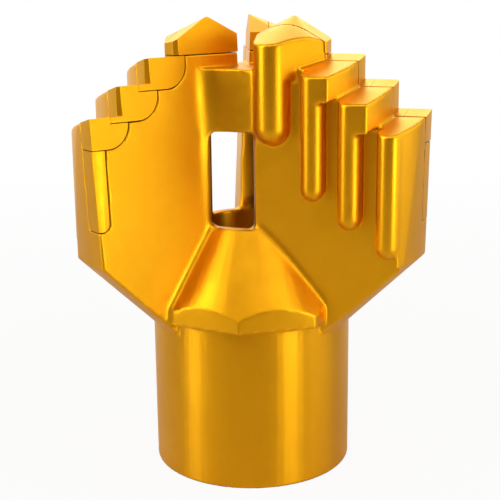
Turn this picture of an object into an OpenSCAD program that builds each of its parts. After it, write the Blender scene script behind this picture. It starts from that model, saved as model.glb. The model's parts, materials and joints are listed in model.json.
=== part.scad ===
// Three-wing step drag bit with brazed carbide inserts, standing on its shank.
// The origin is the centre of the shank's bottom face and +Z points to the cutting end.
// Each wing is drawn in its own frame: x runs outward along the wing, y runs back from
// the leading face to the trailing side, and z is the height.

/* [Bit] */
// Cutting diameter across the gauge
bit_d = 200; // [198:0.5:202]
// Height of the tips above the shank's bottom face
tip_z = 248; // [246:0.5:250]
// Directions of the left, right and back wing, the back one set 5 degrees off an even third
wing_az = [210, 330, 85]; // [0:1:359]

/* [Shank] */
// Diameter of the turned shank
shank_d = 110; // [108:0.5:112]
// Height at which the turned shank ends
shank_z = 88.5; // [87:0.5:90]
// Bevel on the shank's bottom edge
shank_bevel = 0.6; // [0.2:0.1:1.5]

/* [Box connection] */
// Diameter of the counterbore at the mouth
counterbore_d = 90.49; // [90:0.01:91]
// Depth of the counterbore
counterbore_h = 15.9; // [15:0.1:17]
// Diameter that the thread's root cone has at the mouth
thread_d = 88.9; // [88:0.1:90]
// Loss of diameter for each unit of depth
thread_taper = 0.25; // [0.2:0.01:0.26]
// Depth of the threaded box
box_h = 111.1; // [108:0.1:113]

/* [Cone and hub] */
// Diameter of the water passage behind the windows
passage_d = 48; // [44:1:50]
// Height at which the water passage ends under the crown
passage_z = 190; // [186:1:194]
// Radius of the cone at its top
cone_top_r = 30; // [29:0.5:32]
// Height of the cone's top, which is the sill of the windows
sill_z = 137; // [135:0.5:139]
// Rise of the cone for each unit of radius
cone_slope = 1.36; // [1.3:0.01:1.42]
// Distance from the axis to each of the flats round the base
flat_r = 57; // [56.5:0.1:58]
// Number of flats round the base
flat_n = 9; // [9:9:9]
// Angle of the first corner between two flats, measured from the left wing
flat_turn = 5; // [0:1:10]
// Depth of the crown between the tips below them
crown_drop = 27; // [25:0.5:29]

/* [Wings] */
// Thickness of the web of a wing
web_t = 25; // [24:0.5:26]
// How far a web runs on past the axis
web_in = 15; // [14:0.5:16]
// Radius of the fillet in the upright corner between two wings
corner_r = 14; // [12:0.5:15]
// Radius of the core that joins the wings under the crown
core_r = 12.5; // [12:0.5:14]
// Tilt of the leading face from the vertical
rake = 2.75; // [2:0.05:3.5]
// Depth below the tips at which the leading face passes through the axis
rake_drop = 36; // [32:1:40]
// Width of the land behind the cutting edge
land_t = 10.5; // [10:0.1:11.5]
// Fall of a step's top behind the cutting edge
relief = 15; // [13:0.5:16]
// Slope of the turned underside from the horizontal
under_slope = 44.4; // [43.5:0.1:45]
// Height of the lower end of the gauge
gauge_z = 124.4; // [122:0.2:127]
// Taper of the gauge towards the shank
gauge_taper = 1.5; // [1:0.1:2]
// Chamfer on the leading outer edge
edge_chamfer = 2.2; // [1:0.1:3]

/* [Steps] */
// Radii of the first two steps; the third step is at the gauge
inner_step_r = [65.4, 83.1]; // [62:0.1:86]
// Depths of the three steps' cutting edges below the tips
step_drop = [19.7, 32.6, 47.4]; // [19:0.1:48]
// How far each relief has come in from the step's radius at its back
relief_in = [8.4, 7.4, 9]; // [7:0.1:9]
// Distances of the reliefs' backs from the leading face
relief_back = [35, 35, 33]; // [32:0.1:35]
// Radius of the reliefs, seen from above
relief_r = 57; // [50:1:80]

/* [Ribs] */
// Distance of the ribs' fronts from the leading face
rib_front = 36; // [35:0.5:37]
// Places of the tip's rib and the three step ribs along the wing
rib_x = [22.9, 46, 65.6, 86]; // [20:0.1:90]
// Radii of the ribs
rib_r = [9.3, 6.3, 6.3, 6.4]; // [5:0.1:10]
// Heights of the ribs' lower ends
rib_z = [182.5, 155, 141.3, 127.6]; // [120:0.1:190]

/* [Tip] */
// Distance of the point from the axis
tip_x = 26.5; // [25:0.5:28]
// Where the tip starts beside the axis
tip_in = 6.4; // [5:0.2:8]
// Where the tip ends towards the first step
tip_out = 47.2; // [46:0.1:48]
// Slope of the roof towards the axis
roof_in = 26; // [24:0.5:28]
// Slope of the roof towards the gauge
roof_out = 30.3; // [28:0.5:32]
// Fall of the roof's two slopes behind the leading face
roof_relief = 8; // [6:0.5:10]
// Tilt of the cone that joins the two slopes behind the point
roof_cone_tilt = 70; // [66:1:72]

/* [Windows] */
// Width of the windows, which are cut towards the axis between two wings
window_w = 21.7; // [20:0.1:23]
// Distance of the window's middle from the axis, towards the wing on its leading side
window_off = 12.5; // [12:0.1:13]
// Height of the window's top
window_top = 188; // [186:0.5:189]
// Radius of the window's corners
window_corner = 3; // [2:0.5:5]

/* [Inserts] */
// Thickness of the carbide inserts
insert_t = 10.5; // [9:0.5:11]
// Gap round an insert that the braze fills
braze = 0.3; // [0.2:0.05:0.5]
// Inner ends of the three step inserts
insert_x = [41.5, 59.5, 78]; // [35:0.5:80]
// Heights of the step inserts along the leading face
insert_h = [16.3, 17.9, 15.8]; // [14:0.1:20]
// Radius of a step insert's inner corner
insert_corner = 12; // [10:0.5:13]
// Height of the tip insert from its base to its point
tip_insert_h = 19.5; // [18:0.1:19.6]
// Width of the gauge insert
gauge_insert_w = 7.6; // [6:0.2:9]
// Height of the gauge insert below the last step insert
gauge_insert_h = 41.1; // [38:0.1:45]
// Radius of the gauge insert's lower corner
gauge_insert_corner = 4.5; // [3:0.5:6]
// Width of the gauge insert's flat beside its bevelled wearing face
gauge_flat_w = 2.8; // [2:0.1:4]
// Angle of the gauge insert's bevelled wearing face to the leading face
gauge_bevel = 14; // [8:1:20]

/* [Hidden] */
$fn = 96;

gold = "goldenrod";
left = 0;
right = 1;
back = 2;
last_step = 2;
bit_r = bit_d / 2;
shank_r = shank_d / 2;
// Room that a cutting shape has past the faces it cuts
over = 5;
relief_fall = tan(relief);
// How far a piece of the casting reaches into the one that it joins
bite = 0.5;
// Degrees by which the tip's cone crosses the two slopes instead of only touching them
roof_cone_spare = 0.5;
// The same for a corner fillet and the two faces that it joins
fillet_spare = 0.15;
crown_z = tip_z - crown_drop;
rake_z = tip_z - rake_drop;
tip_base_z = tip_z - tip_insert_h;
gauge_insert_z = step_z(last_step) - insert_h[last_step] - gauge_insert_h;
gauge_r_low = bit_r - tan(gauge_taper) * (step_z(last_step) - gauge_z);
under_z = gauge_z - tan(under_slope) * (gauge_r_low - shank_r);

function step_r(k) = k < last_step ? inner_step_r[k] : bit_r;
function step_z(k) = tip_z - step_drop[k];
// Distance of the leading face behind the wing's axis plane at height z
function lead(z) = tan(rake) * (z - rake_z);
// Place where a line from point p touches the circle round c from its rear side
function touch(c, r, p) =
    let (v = p - c, a = atan2(v[1], v[0]) + acos(r / norm(v)))
    c + r * [cos(a), sin(a)];
function rib_centre(k) = [rib_x[k], rib_front - rib_r[k]];
// Outer end of a step's land, where the relief starts
function land_end(k) = [sqrt(pow(step_r(k), 2) - pow(land_t, 2)), land_t];
function relief_end(k) = [step_r(k) - relief_in[k], relief_back[k]];
// Centre of the circle that passes through a and b and bulges away from the axis
function arc_centre(a, b, r) =
    let (m = (a + b) / 2, d = (b - a) / norm(b - a), h = sqrt(r * r - pow(norm(b - a) / 2, 2)))
    m + h * [-d[1], d[0]];
// Angle between a wing and the one that its trailing side faces
function slot_angle(w) = (wing_az[w] - wing_az[(w + 2) % 3] + 360) % 360;

// Puts a wing's own frame at the wing's direction
module on_wing(w) {
    rotate([0, 0, wing_az[w]]) mirror([0, 1, 0]) children();
}

// Extrudes an outline drawn in y and z along x
module along_wing(from, to) {
    translate([from, 0, 0]) rotate([90, 0, 90]) linear_extrude(to - from) children();
}

// Extrudes an outline drawn in x and z along y
module across_wing(from, to) {
    translate([0, to, 0]) rotate([90, 0, 0]) linear_extrude(to - from) children();
}

// Everything behind a plane that lies the given depth behind the leading face
module behind_lead(depth) {
    top = tip_z + over;
    along_wing(-bit_r, bit_r + over)
        polygon([[lead(0) + depth, 0], [web_t * 2, 0], [web_t * 2, top], [lead(top) + depth, top]]);
}

// Everything under the relieved top of step k, less the given depth
module under_step(k, depth = 0) {
    z = step_z(k) - depth;
    along_wing(-bit_r, bit_r + over)
        polygon([[-bit_r, 0], [bit_r, 0], [bit_r, z - relief_fall * bit_r],
                 [-bit_r, z + relief_fall * bit_r]]);
}

// Turned outside of the wings, whose underside runs on into the shank
module turned_outside() {
    root_r = shank_r - over;
    root_z = under_z - over * tan(under_slope);
    rotate_extrude()
        polygon([[0, root_z], [root_r, root_z], [gauge_r_low, gauge_z], [bit_r, step_z(last_step)],
                 [bit_r, tip_z + over], [0, tip_z + over]]);
}

// Plan of step k's web: its land, and what lies behind it up to the trailing face
module step_plan(k) {
    start = tip_in + over;
    back_x = k < last_step ? rib_x[k + 1] + 1 : relief_end(k)[0] + 1;
    polygon([[start, -2 * over], [step_r(k) + over, -2 * over], [step_r(k) + over, land_t],
             [back_x, land_t], [back_x, web_t], [start, web_t]]);
}

// Rib with a round lower end, reaching up to the given height
module rib(k, top) {
    c = rib_centre(k);
    low = rib_z[k] + rib_r[k];
    translate([c[0], c[1], low]) {
        cylinder(h = top - low, r = rib_r[k]);
        sphere(r = rib_r[k]);
    }
}

// Step k with its web, its shoulder and its rib
module step(k) {
    intersection() {
        union() {
            linear_extrude(tip_z) step_plan(k);
            rib(k + 1, tip_z);
            if (k < last_step) {
                difference() {
                    linear_extrude(tip_z) shoulder_plan(k);
                    under_step(k + 1, bite);
                }
            } else {
                linear_extrude(tip_z) relief_strip_plan();
            }
        }
        under_step(k);
        cylinder(h = tip_z, r = k < last_step ? step_r(k) : bit_r + over);
    }
}

// Everything inside the relief of step k, seen from above
module relief_circle(k) {
    a = land_end(k) + [0.05, 0];
    translate(arc_centre(a, relief_end(k), relief_r)) circle(relief_r);
}

// Plan of the shoulder that runs from step k's relief round to its rib
module shoulder_plan(k) {
    c = rib_centre(k + 1);
    front = land_t - over / 2;
    b = relief_end(k);
    t = touch(c, rib_r[k + 1], b);
    past = b + over * (b - t) / norm(b - t);
    intersection() {
        polygon([t, c, [c[0], front], [step_r(k) + over, front], [step_r(k) + over, past[1]], past]);
        relief_circle(k);
    }
}

// Plan of the gauge's relief strip, which runs on down past the rib
module relief_strip_plan() {
    b = relief_end(last_step);
    front = land_t - over / 2;
    intersection() {
        translate([b[0], front]) square([bit_r, b[1] - front]);
        relief_circle(last_step);
    }
}

// Tip with its ridged roof and the rib that carries it
module tip() {
    c = rib_centre(0);
    r = rib_r[0];
    corner = [tip_out, land_t];
    intersection() {
        union() {
            translate([0, 0, crown_z - over])
                linear_extrude(tip_z)
                    polygon([[tip_in, -2 * over], [tip_out, -2 * over], corner, touch(c, r, corner), c,
                             [c[0] - r, c[1]], [tip_in, 0]]);
            rib(0, tip_z);
        }
        tip_roof();
    }
}

// Everything under the tip's two slopes and the cone that joins them behind the point
module tip_roof() {
    in_slope = atan(tan(roof_in) * cos(roof_relief));
    out_slope = atan(tan(roof_out) * cos(roof_relief));
    lean = (cos(in_slope) - cos(out_slope)) / (sin(in_slope) + sin(out_slope));
    half_angle = asin(sin(roof_cone_tilt) * (cos(in_slope) - lean * sin(in_slope))) + roof_cone_spare;
    back = 90 - roof_cone_tilt;
    turn = asin(lean * sin(roof_cone_tilt));
    in_touch = [-sin(in_slope) * cos(turn) - cos(in_slope) * cos(back) * sin(turn),
                cos(in_slope) * sin(back)];
    out_touch = [sin(out_slope) * cos(turn) - cos(out_slope) * cos(back) * sin(turn),
                 cos(out_slope) * sin(back)];
    reach = bit_r;
    h = reach * cos(half_angle);
    translate([tip_x, 0, tip_z])
        rotate([-roof_relief, 0, 0])
            difference() {
                across_wing(-reach, reach)
                    polygon([[-reach, -reach * tan(in_slope)], [0, 0], [reach, -reach * tan(out_slope)],
                             [reach, -tip_z], [-reach, -tip_z]]);
                rotate([back, 0, 0])
                    rotate([0, turn, 0])
                        difference() {
                            translate([0, 0, -h])
                                linear_extrude(2 * h)
                                    polygon([[0, 0], reach * out_touch, [0, reach], reach * in_touch]);
                            translate([0, 0, -h])
                                cylinder(h = h, r1 = reach * sin(half_angle), r2 = 0);
                        }
            }
}

// Whole wing as one solid, before the pockets are cut
module wing_blank() {
    intersection() {
        union() {
            for (k = [0 : last_step]) step(k);
            tip();
            translate([-web_in, -2 * over, under_z])
                cube([web_in + tip_in + 2 * over, 2 * over + web_t, crown_z - under_z]);
        }
        turned_outside();
        behind_lead(0);
        leading_edges();
    }
}

// Keeps what lies behind the chamfers of the leading outer edges
module leading_edges() {
    difference() {
        translate([-bit_r, -bit_r, 0]) cube([2 * bit_r + over, 2 * bit_r, tip_z + over]);
        for (k = [0 : last_step]) edge_cut(step_r(k), k < last_step ? step_z(k + 1) : 0, step_z(k) + over);
        edge_cut(tip_out, step_z(0), tip_z + over);
    }
}

// Cuts a chamfer on the leading edge at radius r between two heights
module edge_cut(r, from, to) {
    translate([0, 0, from])
        linear_extrude(to - from)
            polygon([[r - edge_chamfer * 2, lead(to) - over], [r - edge_chamfer, lead(from)],
                     [r, lead(from) + edge_chamfer], [r + over, lead(from) + edge_chamfer + over],
                     [r + over, lead(to) - over]]);
}

// Outline of step insert k in x and z, grown by the given gap
module step_insert_outline(k, gap) {
    x = insert_x[k] - gap;
    z = step_z(k) - insert_h[k] - gap;
    r = insert_corner;
    translate([x + r, z]) square([step_r(k) + over - x - r, insert_h[k] + 2 * over]);
    translate([x, z + r]) square([r + over, insert_h[k] + 2 * over - r]);
    translate([x + r, z + r]) circle(r);
}

// Outline of the gauge insert in x and z, grown by the given gap
module gauge_insert_outline(gap) {
    x = bit_r - gauge_insert_w - gap;
    z = gauge_insert_z - gap;
    r = gauge_insert_corner;
    top = step_z(last_step) - over;
    translate([x + r, z]) square([gauge_insert_w + over, top - z]);
    translate([x, z + r]) square([r + over, top - z - r]);
    translate([x + r, z + r]) circle(r);
}

// Outline of the tip insert in x and z, grown by the given gap
module tip_insert_outline(gap) {
    translate([0, tip_base_z - gap]) square([tip_out + over, tip_z]);
}

// Slab from in front of the leading face to the back of the inserts
module insert_slab() {
    difference() {
        translate([0, -3 * over, gauge_z])
            cube([bit_r + over, 3 * over + insert_t + over, tip_z - gauge_z + over]);
        behind_lead(insert_t);
    }
}

// Part of a wing that an insert or its pocket takes up, from an outline in x and z
module pocket() {
    intersection() {
        across_wing(-3 * over, insert_t + over) children();
        insert_slab();
    }
}

module wing_pockets() {
    pocket() {
        tip_insert_outline(braze);
        for (k = [0 : last_step]) step_insert_outline(k, braze);
        gauge_insert_outline(braze);
    }
}

module insert_from(w) {
    color(gold)
        on_wing(w)
            intersection() {
                wing_blank();
                pocket() children();
            }
}

module tip_insert(w) {
    insert_from(w) tip_insert_outline(0);
}

module step_insert(w, k) {
    insert_from(w)
        difference() {
            step_insert_outline(k, 0);
            if (k == 0) tip_insert_outline(braze);
            if (k > 0) step_insert_outline(k - 1, braze);
        }
}

// Gauge insert, whose wearing face falls away from the leading face
module gauge_insert(w) {
    color(gold)
        on_wing(w)
            intersection() {
                wing_blank();
                pocket()
                    difference() {
                        gauge_insert_outline(0);
                        step_insert_outline(last_step, braze);
                    }
                behind_bevel();
            }
}

// Everything behind the gauge insert's bevelled wearing face
module behind_bevel() {
    reach = gauge_insert_w + over;
    x = bit_r - gauge_insert_w + gauge_flat_w;
    translate([x, 0, rake_z])
        rotate([-rake, 0, 0])
            translate([0, 0, gauge_z - tip_z])
                linear_extrude(tip_z)
                    polygon([[-reach, -over], [-over / tan(gauge_bevel), -over], [reach, reach * tan(gauge_bevel)],
                             [reach, insert_t + 2 * over], [-reach, insert_t + 2 * over]]);
}

// Cone between the wings, with flats round its foot, cut off by the windows' sills
module cone() {
    foot_r = cone_top_r + (sill_z - shank_z) / cone_slope;
    h = sill_z + bite - shank_z;
    intersection() {
        translate([0, 0, shank_z]) cylinder(h = h, r1 = foot_r, r2 = foot_r - h / cone_slope);
        rotate([0, 0, wing_az[left] + flat_turn])
            translate([0, 0, shank_z])
                cylinder(h = sill_z, r = flat_r / cos(180 / flat_n), $fn = flat_n);
    }
}

module shank() {
    rotate_extrude()
        polygon([[0, 0], [shank_r - shank_bevel, 0], [shank_r, shank_bevel], [shank_r, shank_z],
                 [0, shank_z]]);
}

// Counterbore, tapered box and water passage
module bore() {
    box_end_d = thread_d - thread_taper * box_h;
    translate([0, 0, -over]) cylinder(h = over + counterbore_h, d = counterbore_d);
    cylinder(h = box_h, d1 = thread_d, d2 = box_end_d);
    cylinder(h = passage_z, d = passage_d);
}

// Window between wing w and the one that its trailing side faces, cut towards the axis
module window(w) {
    h = window_top - sill_z;
    r = window_corner;
    rotate([0, 0, slot_angle(w) / 2 - 90])
        across_wing(passage_d / 8, web_t + 2 * over)
            translate([-window_off - window_w / 2, sill_z]) {
                translate([r, 0]) square([window_w - 2 * r, h]);
                translate([0, r]) square([window_w, h - 2 * r]);
                for (x = [r, window_w - r]) for (z = [r, h - r]) translate([x, z]) circle(r);
            }
}

// Fillet between wing w's trailing side and the leading face that it faces
module corner_fillet(w) {
    g = slot_angle(w);
    r = corner_r;
    deep = r + bite;
    foot = sill_z - 2 * over;
    translate([(r + (web_t + r) * cos(g)) / sin(g), web_t + r, rake_z])
        rotate([0, -atan(tan(rake) / sin(g)), 0])
            translate([0, 0, foot - rake_z])
                linear_extrude(tip_z - foot)
                    difference() {
                        polygon([[0, 0], [0, -deep], deep / sin(g / 2) * [-cos(g / 2), -sin(g / 2)],
                                 deep * [-sin(g), cos(g)]]);
                        circle(r + fillet_spare);
                    }
}

module bit_body() {
    color(gold)
        difference() {
            union() {
                shank();
                cone();
                translate([0, 0, passage_z - over]) cylinder(h = crown_z - passage_z + over, r = core_r);
                for (w = [left, right, back])
                    on_wing(w) {
                        difference() {
                            wing_blank();
                            wing_pockets();
                        }
                        intersection() {
                            corner_fillet(w);
                            cylinder(h = crown_z, r = shank_r);
                        }
                    }
            }
            bore();
            for (w = [left, right, back]) on_wing(w) window(w);
        }
}

bit_body();
tip_insert(left);  // left_tip_insert
step_insert(left, 0);  // left_step_insert_1
step_insert(left, 1);  // left_step_insert_2
step_insert(left, 2);  // left_step_insert_3
gauge_insert(left);  // left_gauge_insert
tip_insert(right);  // right_tip_insert
step_insert(right, 0);  // right_step_insert_1
step_insert(right, 1);  // right_step_insert_2
step_insert(right, 2);  // right_step_insert_3
gauge_insert(right);  // right_gauge_insert
tip_insert(back);  // back_tip_insert
step_insert(back, 0);  // back_step_insert_1
step_insert(back, 1);  // back_step_insert_2
step_insert(back, 2);  // back_step_insert_3
gauge_insert(back);  // back_gauge_insert
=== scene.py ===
"""A three-wing step drag bit, painted gold, standing on its shank on a pale floor."""

import bmesh
import bpy
import json
import math
from mathutils import Euler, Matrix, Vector
from mathutils.bvhtree import BVHTree
from mathutils.kdtree import KDTree

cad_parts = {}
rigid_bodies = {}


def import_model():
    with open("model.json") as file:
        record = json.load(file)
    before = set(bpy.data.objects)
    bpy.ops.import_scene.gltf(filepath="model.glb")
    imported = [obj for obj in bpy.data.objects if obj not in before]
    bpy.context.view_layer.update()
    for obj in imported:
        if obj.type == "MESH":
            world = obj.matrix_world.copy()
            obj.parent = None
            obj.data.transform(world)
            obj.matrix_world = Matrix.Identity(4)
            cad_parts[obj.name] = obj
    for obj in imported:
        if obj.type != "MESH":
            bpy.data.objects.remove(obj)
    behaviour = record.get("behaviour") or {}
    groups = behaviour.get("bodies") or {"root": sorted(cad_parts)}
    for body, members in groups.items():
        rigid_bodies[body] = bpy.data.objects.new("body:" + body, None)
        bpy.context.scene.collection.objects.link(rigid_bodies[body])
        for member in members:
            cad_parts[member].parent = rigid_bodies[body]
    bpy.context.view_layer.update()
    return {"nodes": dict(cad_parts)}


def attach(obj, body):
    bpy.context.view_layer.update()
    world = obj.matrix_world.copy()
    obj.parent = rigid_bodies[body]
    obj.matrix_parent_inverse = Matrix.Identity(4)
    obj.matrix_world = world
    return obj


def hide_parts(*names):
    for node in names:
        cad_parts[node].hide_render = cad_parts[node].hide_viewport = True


MM = 0.001

# The camera stands between the left and right wings, a little above the tips, and looks down.
CAMERA_PLACE = Vector((-0.0881, -0.5926, 0.2672))
CAMERA_HEADING = 8.41
CAMERA_DIP = 13.92
CAMERA_ROLL = -0.63
CAMERA_LENS = 79.4
SENSOR_WIDTH = 36.0

# The wings' directions, and heights on the body
WING_AZIMUTHS = (210, 330, 85)
WINDOW_SILL = 136 * MM
WINDOW_TOP = 187 * MM
CROWN = 220.3 * MM

# A CAD node's loose triangles are joined within this reach, and its flat faces merged.
JOIN_REACH = 1e-6
FLAT_ANGLE = 1.0

# The body's skin: its cells, its triangles, and how far from an edge each rounding reaches
SKIN_CELL = 0.75 * MM
SKIN_TRIANGLES = 190000
CONE_FILLET = 7.0 * MM
WEB_BLEND = 8.0 * MM
RIB_FILLET = 2.2 * MM
INSERT_CLEARANCE = 2.5 * MM

# How often each rounding is smoothed, and the whole skin at the end
SMOOTHING_PASSES = {"corner": 60, "web_crease": 80, "rib_foot": 8, "outer_edge": 7}
SKIN_PASSES = 3
SMOOTHING_SHARE = 0.5

# Points along an edge lie this far apart, and the weight round them rises this steeply to 1.
POINT_SPACING = 0.8 * MM
WEIGHT_RISE = 1.6

# At these heights the web keeps its crisp edges: its smoothing stops short of them.
KEPT_HEIGHTS = (WINDOW_TOP, CROWN)
KEEP_CLEAR = 1.2 * MM
KEEP_FADE = 4.0 * MM

# How sharply the faces meet, in degrees, at a corner and at the web's shallow crease
CORNER_ANGLES = (18, 180)
CREASE_ANGLES = (6.5, 30)

# Where the corners are: heights and radii, and along and across a wing for the web's crease
CONE_FOOT_HEIGHTS = (92 * MM, 136 * MM)
CONE_FOOT_RADII = (27 * MM, 59 * MM)
HUB_CORNER_HEIGHTS = (188.5 * MM, 219 * MM)
HUB_CORNER_RADII = (26 * MM, 32 * MM)
WEB_HEIGHTS = (138 * MM, 222 * MM)
WEB_ALONG = (18 * MM, 45 * MM)
WEB_ACROSS = (-7 * MM, 3 * MM)
CREASE_HEIGHTS = (WINDOW_TOP - 42 * MM, CROWN - 7 * MM)
WING_SIDE_RADIUS = 33 * MM
WING_SIDE_FOOT = 125 * MM

# The inserts' broken edges
EDGE_BREAK = 0.2 * MM
EDGE_SEGMENTS = 2
EDGE_ANGLE = 25
INSERT_SMOOTH_ANGLE = 30

# The box connection's thread: ridges 5.08 mm apart on a bore that tapers 1 in 4
THREAD_PITCH = 5.08 * MM
THREAD_HEIGHT = 2.9 * MM
THREAD_FIRST_Z = 19.0 * MM
THREAD_TURNS = 15
THREAD_STEPS = 96
THREAD_MOUTH_D = 88.9 * MM
THREAD_ROOT = 0.2 * MM
THREAD_BASE = 4.4 * MM
THREAD_CREST = 1.1 * MM
THREAD_TAPER = 0.25
THREAD_SMOOTH_ANGLE = 20

# The paint: two golds in faint patches, how rough it dries, and its fine grain
GOLD = (0.86, 0.425, 0.010, 1.0)
GOLD_DEEP = (0.82, 0.395, 0.008, 1.0)
PATCH_SCALE = 22
ROUGH_SCALE = 60
ROUGHNESS = (0.33, 0.41)
GRAIN_SCALE = 1300
GRAIN_STRENGTH = 0.25
GRAIN_DEPTH = 0.3 * MM

# Painted shade: its brown, how deep a crease is darkened, and the radius inside which a window is
# darkened
SHADE_BROWN = (0.10, 0.03, 0.003, 1.0)
CREASE_REACH = 1.2 * MM
CREASE_SAMPLES = 8
CREASE_OPENNESS = (0.35, 0.75)
CREASE_SHADE = 0.8
WINDOW_INSIDE = 27 * MM
WINDOW_FADE = 3 * MM
WINDOW_SHADE = 0.9

# Turning lines: how far they draw reflections out, and the cone up to which the bit is turned
TURNED = 0.88
TURNED_ALONG = (0.02, 0.0, 1.0)
CONE_SLOPE = 1.36
TURNED_REACH = 30.5 * MM + 137 * MM / CONE_SLOPE
TURNED_FADE = 1.5 * MM

# The floor: its size, its own grey, how white it looks, and where it turns wholly white
FLOOR_SIZE = 8
FLOOR_DROP = 0.1 * MM
FLOOR_GREY = (0.6, 0.6, 0.6, 1.0)
FLOOR_ROUGHNESS = 0.9
FLOOR_WHITE = 0.93
FLOOR_WHITENS = (0.15, 1.0)

# The room: its colour, and its light near the horizon and overhead
ROOM_COLOUR = (1.0, 0.68, 0.40, 1.0)
ROOM_HEIGHTS = (0.1, 0.9)
ROOM_LIGHT = (0.24, 0.38)

# How far behind the bit its metal shows white: on the floor, and in the room round it
FLOOR_BEHIND = (0.1, 1.5)
ROOM_BEHIND = (0.1, 0.7)

# The softboxes: azimuth, height, distance, width, length and brightness
SOFTBOXES = {
    "left_strip": (195, 0.40, 0.62, 0.18, 0.8, 4.8),
    "right_low_strip": (305, 0.14, 0.62, 0.20, 0.28, 4.8),
    "right_strip": (334, 0.40, 0.62, 0.16, 0.8, 1.9),
    "side_strip": (352, 0.40, 0.62, 0.16, 0.8, 1.6),
    "upper_left_softbox": (212, 0.95, 0.75, 0.4, 0.5, 2.6),
    "upper_right_softbox": (304, 0.95, 0.75, 0.4, 0.5, 2.4),
    "front_softbox": (262, 1.05, 0.62, 0.7, 0.5, 1.9),
    "back_softbox": (88, 0.90, 0.90, 1.5, 0.6, 1.5),
}
SOFTBOXES_FACE = Vector((0, 0, 0.12))


# Pieces

def clear_scene():
    """Starts from nothing, so that only the frame and the pieces are in the scene."""
    for thing in list(bpy.data.objects):
        bpy.data.objects.remove(thing, do_unlink=True)


def select_only(piece):
    """Makes one piece the active and only selected object."""
    bpy.ops.object.select_all(action="DESELECT")
    piece.select_set(True)
    bpy.context.view_layer.objects.active = piece


def apply_modifier(piece, kind, **settings):
    """Adds one modifier with its settings and applies it."""
    select_only(piece)
    modifier = piece.modifiers.new(kind.lower(), kind)
    for key, value in settings.items():
        setattr(modifier, key, value)
    bpy.ops.object.modifier_apply(modifier=modifier.name)


def merged_copy(node, name, reach=JOIN_REACH):
    """A copy of a CAD node's mesh with its loose triangles joined."""
    source = frame["nodes"][node]
    piece = bpy.data.objects.new(name, source.data.copy())
    bpy.context.collection.objects.link(piece)
    piece.data.materials.clear()
    select_only(piece)
    bpy.ops.mesh.customdata_custom_splitnormals_clear()
    bpy.ops.object.mode_set(mode="EDIT")
    bpy.ops.mesh.select_all(action="SELECT")
    bpy.ops.mesh.remove_doubles(threshold=reach)
    bpy.ops.mesh.dissolve_limited(angle_limit=math.radians(FLAT_ANGLE))
    bpy.ops.object.mode_set(mode="OBJECT")
    return piece


def finish_piece(piece, node, material):
    """Gives a piece its material and its body, and hides the CAD node it replaces."""
    piece.data.materials.clear()
    piece.data.materials.append(material)
    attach(piece, "root")
    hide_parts(node)


# Shader helpers

def new_material(name):
    """An empty node material and its Principled shader."""
    material = bpy.data.materials.new(name)
    material.use_nodes = True
    tree = material.node_tree
    return material, tree, tree.nodes["Principled BSDF"]


def object_place(tree):
    """A point's place on Object coordinates, whole and split into X, Y and Z."""
    place = tree.nodes.new("ShaderNodeTexCoord").outputs["Object"]
    split = tree.nodes.new("ShaderNodeSeparateXYZ")
    tree.links.new(place, split.inputs["Vector"])
    return place, split.outputs


def length(tree, vector):
    """The length of a vector."""
    node = tree.nodes.new("ShaderNodeVectorMath")
    node.operation = "LENGTH"
    tree.links.new(vector, node.inputs[0])
    return node.outputs["Value"]


def noise(tree, scale, detail):
    """A noise on Object coordinates."""
    place = tree.nodes.new("ShaderNodeTexCoord")
    grain = tree.nodes.new("ShaderNodeTexNoise")
    grain.inputs["Scale"].default_value = scale
    grain.inputs["Detail"].default_value = detail
    tree.links.new(place.outputs["Object"], grain.inputs["Vector"])
    return grain.outputs["Fac"]


def ramp(tree, value, span, result):
    """Maps a value from one range to another, and holds it at the ends."""
    node = tree.nodes.new("ShaderNodeMapRange")
    node.inputs["From Min"].default_value = span[0]
    node.inputs["From Max"].default_value = span[1]
    node.inputs["To Min"].default_value = result[0]
    node.inputs["To Max"].default_value = result[1]
    tree.links.new(value, node.inputs["Value"])
    return node.outputs["Result"]


def combine(tree, operation, first, second):
    """Combines two values by one operation."""
    node = tree.nodes.new("ShaderNodeMath")
    node.operation = operation
    tree.links.new(first, node.inputs[0])
    tree.links.new(second, node.inputs[1])
    return node.outputs["Value"]


def blend_colour(tree, factor, first, second):
    """Mixes a colour, which may come from a node, with another by a factor."""
    mix = tree.nodes.new("ShaderNodeMix")
    mix.data_type = "RGBA"
    if isinstance(first, tuple):
        mix.inputs[6].default_value = first
    else:
        tree.links.new(first, mix.inputs[6])
    mix.inputs[7].default_value = second
    tree.links.new(factor, mix.inputs["Factor"])
    return mix.outputs[2]


def show_mix(tree, share, first, second, output):
    """Sends a mix of two shaders to the output."""
    mix = tree.nodes.new("ShaderNodeMixShader")
    tree.links.new(share, mix.inputs["Fac"])
    tree.links.new(first, mix.inputs[1])
    tree.links.new(second, mix.inputs[2])
    tree.links.new(mix.outputs["Shader"], tree.nodes[output].inputs["Surface"])


# Gold paint

def radius_and_height(tree):
    """A point's distance from the bit's axis, and its height."""
    place, split = object_place(tree)
    flat = tree.nodes.new("ShaderNodeCombineXYZ")
    tree.links.new(split["X"], flat.inputs["X"])
    tree.links.new(split["Y"], flat.inputs["Y"])
    return length(tree, flat.outputs["Vector"]), split["Z"]


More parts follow.
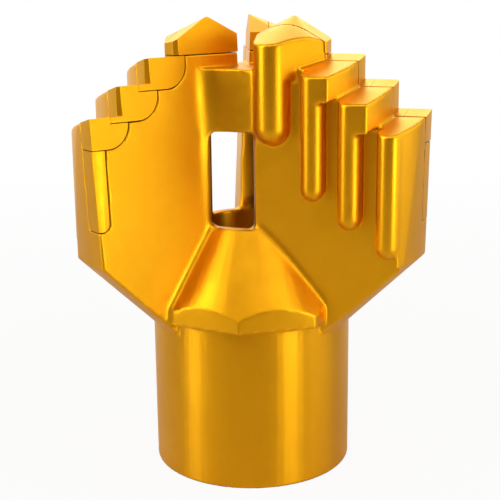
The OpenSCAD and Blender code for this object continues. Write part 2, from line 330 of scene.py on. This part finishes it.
def painted_shade(tree):
    """Painted shade: the gold darkened to brown in tight creases and seams, and inside the
    windows.
    """
    # Painted shade in creases and seams: the less open a spot is to the room, the browner its
    # gold.
    crease = tree.nodes.new("ShaderNodeAmbientOcclusion")
    crease.inputs["Distance"].default_value = CREASE_REACH
    crease.samples = CREASE_SAMPLES
    crease_shade = ramp(tree, crease.outputs["AO"], CREASE_OPENNESS, (CREASE_SHADE, 0))
    # Painted shade inside the windows: near the axis, between sill and top, the gold is darkened
    # to brown.
    radius, z = radius_and_height(tree)
    inside = ramp(tree, radius, (WINDOW_INSIDE - WINDOW_FADE, WINDOW_INSIDE), (WINDOW_SHADE, 0))
    above_sill = ramp(tree, z, (WINDOW_SILL, WINDOW_SILL + WINDOW_FADE), (0, 1))
    below_top = ramp(tree, z, (WINDOW_TOP, WINDOW_TOP + WINDOW_FADE), (1, 0))
    window_shade = combine(tree, "MULTIPLY", inside,
                        combine(tree, "MULTIPLY", above_sill, below_top))
    return combine(tree, "MAXIMUM", crease_shade, window_shade)


def turning_lines(tree, shader):
    """Fine turning lines round the shank and cone, which draw reflections out along them."""
    radius, z = radius_and_height(tree)
    reach = tree.nodes.new("ShaderNodeMath")
    reach.operation = "MULTIPLY_ADD"
    tree.links.new(z, reach.inputs[0])
    reach.inputs[1].default_value = 1 / CONE_SLOPE
    tree.links.new(radius, reach.inputs[2])
    share = ramp(tree, reach.outputs["Value"],
                 (TURNED_REACH, TURNED_REACH + TURNED_FADE), (TURNED, 0))
    tree.links.new(share, shader.inputs["Anisotropic"])
    along = tree.nodes.new("ShaderNodeCombineXYZ")
    for axis, value in zip("XYZ", TURNED_ALONG):
        along.inputs[axis].default_value = value
    tree.links.new(along.outputs["Vector"], shader.inputs["Tangent"])


def gold_paint(name, turned=False):
    """Metallic gold paint over forged steel, with turning lines on the shank if asked."""
    material, tree, shader = new_material(name)
    patches = ramp(tree, noise(tree, PATCH_SCALE, 4), (0.35, 0.65), (0, 1))
    colour = blend_colour(tree, patches, GOLD, GOLD_DEEP)
    # Painted shade: the gold turns brown in tight creases and seams and inside the windows.
    colour = blend_colour(tree, painted_shade(tree), colour, SHADE_BROWN)
    tree.links.new(colour, shader.inputs["Base Color"])
    shader.inputs["Metallic"].default_value = 1.0
    rough = ramp(tree, noise(tree, ROUGH_SCALE, 5), (0.3, 0.7), ROUGHNESS)
    tree.links.new(rough, shader.inputs["Roughness"])
    grain = tree.nodes.new("ShaderNodeBump")
    grain.inputs["Strength"].default_value = GRAIN_STRENGTH
    grain.inputs["Distance"].default_value = GRAIN_DEPTH
    tree.links.new(noise(tree, GRAIN_SCALE, 3), grain.inputs["Height"])
    tree.links.new(grain.outputs["Normal"], shader.inputs["Normal"])
    if turned:
        turning_lines(tree, shader)
    return material


# The body

def within(value, span):
    """Whether a value lies inside a range."""
    return span[0] < value < span[1]


def on_cone_foot(point):
    """Whether a place lies where the cone meets the wings."""
    radius = math.hypot(point.x, point.y)
    return within(point.z, CONE_FOOT_HEIGHTS) and within(radius, CONE_FOOT_RADII)


def on_hub_corner(point):
    """Whether a place lies in the upright corner between two wings, above a window."""
    radius = math.hypot(point.x, point.y)
    return within(point.z, HUB_CORNER_HEIGHTS) and within(radius, HUB_CORNER_RADII)


def on_web_crease(point):
    """Whether a place lies where a wing's leading face runs into the corner beside it."""
    for azimuth in WING_AZIMUTHS:
        wing = math.cos(math.radians(azimuth)), math.sin(math.radians(azimuth))
        along = point.x * wing[0] + point.y * wing[1]
        across = point.x * wing[1] - point.y * wing[0]
        if within(along, WEB_ALONG) and within(across, WEB_ACROSS):
            return within(point.z, WEB_HEIGHTS)
    return False


def on_wing_side(point):
    """Whether a place lies out on a wing, where ribs and steps have small fillets."""
    return math.hypot(point.x, point.y) > WING_SIDE_RADIUS and point.z > WING_SIDE_FOOT


def edge_points(mesh, place, convex=False, angles=CORNER_ANGLES):
    """Points along the concave or convex edges that place() picks by their middle."""
    work = bmesh.new()
    work.from_mesh(mesh)
    points = []
    for edge in work.edges:
        if not edge.is_manifold or edge.is_convex != convex:
            continue
        if not within(math.degrees(edge.calc_face_angle()), angles):
            continue
        start, end = edge.verts[0].co, edge.verts[1].co
        if not place((start + end) / 2):
            continue
        steps = max(1, int((end - start).length / POINT_SPACING))
        points += [start.lerp(end, i / steps) for i in range(steps + 1)]
    work.free()
    return points


def away_from_inserts(points):
    """The points that lie clear of every insert, whose pockets keep their crisp edges."""
    inserts = [BVHTree.FromPolygons([v.co for v in node.data.vertices],
                                    [p.vertices for p in node.data.polygons])
               for name, node in frame["nodes"].items() if name != "bit_body"]

    def clear(point):
        return all(tree.find_nearest(point, INSERT_CLEARANCE)[0] is None for tree in inserts)

    return [point for point in points if clear(point)]


def weight_near(piece, group_name, points, reach, kept_heights=()):
    """Weights a vertex group from 1 on the points to 0 at the reach and at kept heights."""
    group = piece.vertex_groups.new(name=group_name)
    tree = KDTree(len(points))
    for i, point in enumerate(points):
        tree.insert(point, i)
    tree.balance()
    for vertex in piece.data.vertices:
        distance = tree.find(vertex.co)[2]
        if distance < reach:
            weight = min(1.0, WEIGHT_RISE * (1 - distance / reach))
            for height in kept_heights:
                off = abs(vertex.co.z - height) - KEEP_CLEAR
                weight *= min(1.0, max(0.0, off / KEEP_FADE))
            group.add([vertex.index], weight, "REPLACE")


def body_skin():
    """The forged body with its edges broken and its inner corners filleted."""
    piece = merged_copy("bit_body", "bit_body_skin")
    corners = edge_points(piece.data, lambda p: on_cone_foot(p) or on_hub_corner(p))
    creases = [p for p in edge_points(piece.data, on_web_crease, angles=CREASE_ANGLES)
               if within(p.z, CREASE_HEIGHTS)]
    rib_feet = edge_points(piece.data, on_wing_side)
    outer_edges = away_from_inserts(edge_points(piece.data, on_wing_side, convex=True))
    apply_modifier(piece, "REMESH", mode="VOXEL", voxel_size=SKIN_CELL)
    weight_near(piece, "corner", corners, CONE_FILLET)
    weight_near(piece, "web_crease", creases, WEB_BLEND, KEPT_HEIGHTS)
    weight_near(piece, "rib_foot", rib_feet, RIB_FILLET)
    weight_near(piece, "outer_edge", outer_edges, RIB_FILLET)
    for group_name, passes in SMOOTHING_PASSES.items():
        apply_modifier(piece, "SMOOTH", factor=SMOOTHING_SHARE, iterations=passes,
                       vertex_group=group_name)
    apply_modifier(piece, "SMOOTH", factor=SMOOTHING_SHARE, iterations=SKIN_PASSES)
    share = SKIN_TRIANGLES / (2 * len(piece.data.polygons))
    apply_modifier(piece, "DECIMATE", ratio=min(1.0, share))
    select_only(piece)
    bpy.ops.object.shade_smooth()
    return piece


# The inserts and the thread

def insert_skin(node):
    """One carbide insert with its edges broken."""
    piece = merged_copy(node, node + "_skin", EDGE_BREAK)
    apply_modifier(piece, "BEVEL", width=EDGE_BREAK, segments=EDGE_SEGMENTS,
                   limit_method="ANGLE", angle_limit=math.radians(EDGE_ANGLE),
                   use_clamp_overlap=False)
    select_only(piece)
    bpy.ops.object.shade_smooth_by_angle(angle=math.radians(INSERT_SMOOTH_ANGLE))
    apply_modifier(piece, "WEIGHTED_NORMAL", keep_sharp=True, weight=100)
    return piece


def thread_ridge():
    """The ridge of the box thread: one tooth turned up the bore, then drawn in with its taper."""
    mouth_r = THREAD_MOUTH_D / 2
    depth = THREAD_HEIGHT + THREAD_ROOT
    middle = (mouth_r + THREAD_ROOT - depth / 2, 0, THREAD_FIRST_Z)
    bpy.ops.mesh.primitive_plane_add(size=1, rotation=(math.pi / 2, 0, 0), location=middle)
    piece = bpy.context.object
    piece.name = "box_thread_ridge"
    piece.scale = (depth, THREAD_BASE, 1)
    bpy.ops.object.transform_apply()
    bpy.ops.object.mode_set(mode="EDIT")
    bpy.ops.mesh.select_all(action="DESELECT")
    bpy.ops.object.mode_set(mode="OBJECT")
    for vertex in piece.data.vertices:
        vertex.select = vertex.co.x < mouth_r - THREAD_HEIGHT / 2
    bpy.ops.object.mode_set(mode="EDIT")
    bpy.ops.transform.resize(value=(1, 1, THREAD_CREST / THREAD_BASE),
                             center_override=(mouth_r, 0, THREAD_FIRST_Z))
    bpy.ops.object.mode_set(mode="OBJECT")
    apply_modifier(piece, "SCREW", screw_offset=THREAD_PITCH, iterations=THREAD_TURNS,
                   steps=THREAD_STEPS, render_steps=THREAD_STEPS, use_smooth_shade=False)
    heights = [vertex.co.z for vertex in piece.data.vertices]
    apply_modifier(piece, "SIMPLE_DEFORM", deform_method="TAPER", deform_axis="Z",
                   factor=-THREAD_TAPER / 2 / mouth_r * (max(heights) - min(heights)))
    bpy.ops.object.mode_set(mode="EDIT")
    bpy.ops.mesh.select_all(action="SELECT")
    bpy.ops.mesh.remove_doubles(threshold=JOIN_REACH)
    bpy.ops.mesh.select_all(action="DESELECT")
    bpy.ops.mesh.select_non_manifold(extend=False)
    bpy.ops.mesh.edge_face_add()
    bpy.ops.mesh.select_all(action="SELECT")
    bpy.ops.mesh.normals_make_consistent(inside=False)
    bpy.ops.object.mode_set(mode="OBJECT")
    bpy.ops.object.shade_smooth_by_angle(angle=math.radians(THREAD_SMOOTH_ANGLE))
    return piece


# Setting

def white_share(tree, depth, span):
    """How white the backdrop is: all of it to the camera, and behind the bit to its metal."""
    path = tree.nodes.new("ShaderNodeLightPath").outputs
    behind = ramp(tree, depth, span, (0, 1))
    shown = combine(tree, "MULTIPLY", path["Is Glossy Ray"], behind)
    seen = combine(tree, "MAXIMUM", path["Is Camera Ray"], path["Is Transmission Ray"])
    return combine(tree, "MAXIMUM", seen, shown)


def stage_floor():
    """A wide pale floor that shows white and keeps the bit's shadow."""
    bpy.ops.mesh.primitive_plane_add(size=FLOOR_SIZE, location=(0, 0, -FLOOR_DROP))
    floor = bpy.context.object
    floor.name = "floor"
    material, tree, shader = new_material("pale_floor")
    shader.inputs["Base Color"].default_value = FLOOR_GREY
    shader.inputs["Roughness"].default_value = FLOOR_ROUGHNESS
    shader.inputs["Specular IOR Level"].default_value = 0.0
    place, split = object_place(tree)
    share = combine(tree, "MULTIPLY", white_share(tree, split["Y"], FLOOR_BEHIND),
                    ramp(tree, length(tree, place), FLOOR_WHITENS, (FLOOR_WHITE, 1)))
    glow = tree.nodes.new("ShaderNodeEmission")
    glow.inputs["Strength"].default_value = 1.0
    show_mix(tree, share, shader.outputs["BSDF"], glow.outputs["Emission"], "Material Output")
    floor.data.materials.append(material)


def studio_world():
    """White behind the bit, and a dim studio round the camera."""
    world = bpy.data.worlds.new("studio")
    bpy.context.scene.world = world
    world.use_nodes = True
    tree = world.node_tree
    place = tree.nodes.new("ShaderNodeTexCoord")
    split = tree.nodes.new("ShaderNodeSeparateXYZ")
    tree.links.new(place.outputs["Generated"], split.inputs["Vector"])
    room = tree.nodes["Background"]
    room.inputs["Color"].default_value = ROOM_COLOUR
    light = ramp(tree, split.outputs["Z"], ROOM_HEIGHTS, ROOM_LIGHT)
    tree.links.new(light, room.inputs["Strength"])
    white = tree.nodes.new("ShaderNodeBackground")
    white.inputs["Color"].default_value = (1, 1, 1, 1)
    white.inputs["Strength"].default_value = 1.0
    share = white_share(tree, split.outputs["Y"], ROOM_BEHIND)
    show_mix(tree, share, room.outputs["Background"], white.outputs["Background"], "World Output")


def softbox(name, azimuth, height, distance, width, tall, brightness):
    """A softbox of the given brightness round the bit, facing its middle."""
    angle = math.radians(azimuth)
    place = Vector((distance * math.cos(angle), distance * math.sin(angle), height))
    light = bpy.data.lights.new(name, "AREA")
    light.shape = "RECTANGLE"
    light.size = width
    light.size_y = tall
    light.energy = brightness * math.pi * width * tall
    lamp = bpy.data.objects.new(name, light)
    bpy.context.collection.objects.link(lamp)
    lamp.location = place
    lamp.rotation_euler = (SOFTBOXES_FACE - place).to_track_quat("-Z", "Y").to_euler()


def photo_camera():
    """The camera, turned by heading, dip and roll."""
    data = bpy.data.cameras.new("camera")
    data.lens = CAMERA_LENS
    data.sensor_width = SENSOR_WIDTH
    camera = bpy.data.objects.new("camera", data)
    bpy.context.collection.objects.link(camera)
    heading = math.radians(CAMERA_HEADING)
    dip = math.radians(CAMERA_DIP)
    forward = Vector((math.sin(heading) * math.cos(dip),
                      math.cos(heading) * math.cos(dip),
                      -math.sin(dip)))
    look = forward.to_track_quat("-Z", "Y").to_matrix()
    roll = Euler((0, 0, math.radians(CAMERA_ROLL))).to_matrix()
    camera.rotation_euler = (look @ roll).to_euler()
    camera.location = CAMERA_PLACE
    bpy.context.scene.camera = camera


clear_scene()
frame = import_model()
bpy.ops.object.select_all(action="DESELECT")
bpy.context.scene.view_settings.view_transform = "Standard"

photo_camera()
stage_floor()
studio_world()
for name, setting in SOFTBOXES.items():
    softbox(name, *setting)

paint = gold_paint("gold_paint", turned=True)
insert_paint = gold_paint("gold_paint_on_carbide")

finish_piece(body_skin(), "bit_body", paint)
for node in frame["nodes"]:
    if node != "bit_body":
        finish_piece(insert_skin(node), node, insert_paint)
ridge = thread_ridge()
ridge.data.materials.clear()
ridge.data.materials.append(paint)
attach(ridge, "root")
for node in frame["nodes"].values():
    node.data.materials[0] = paint
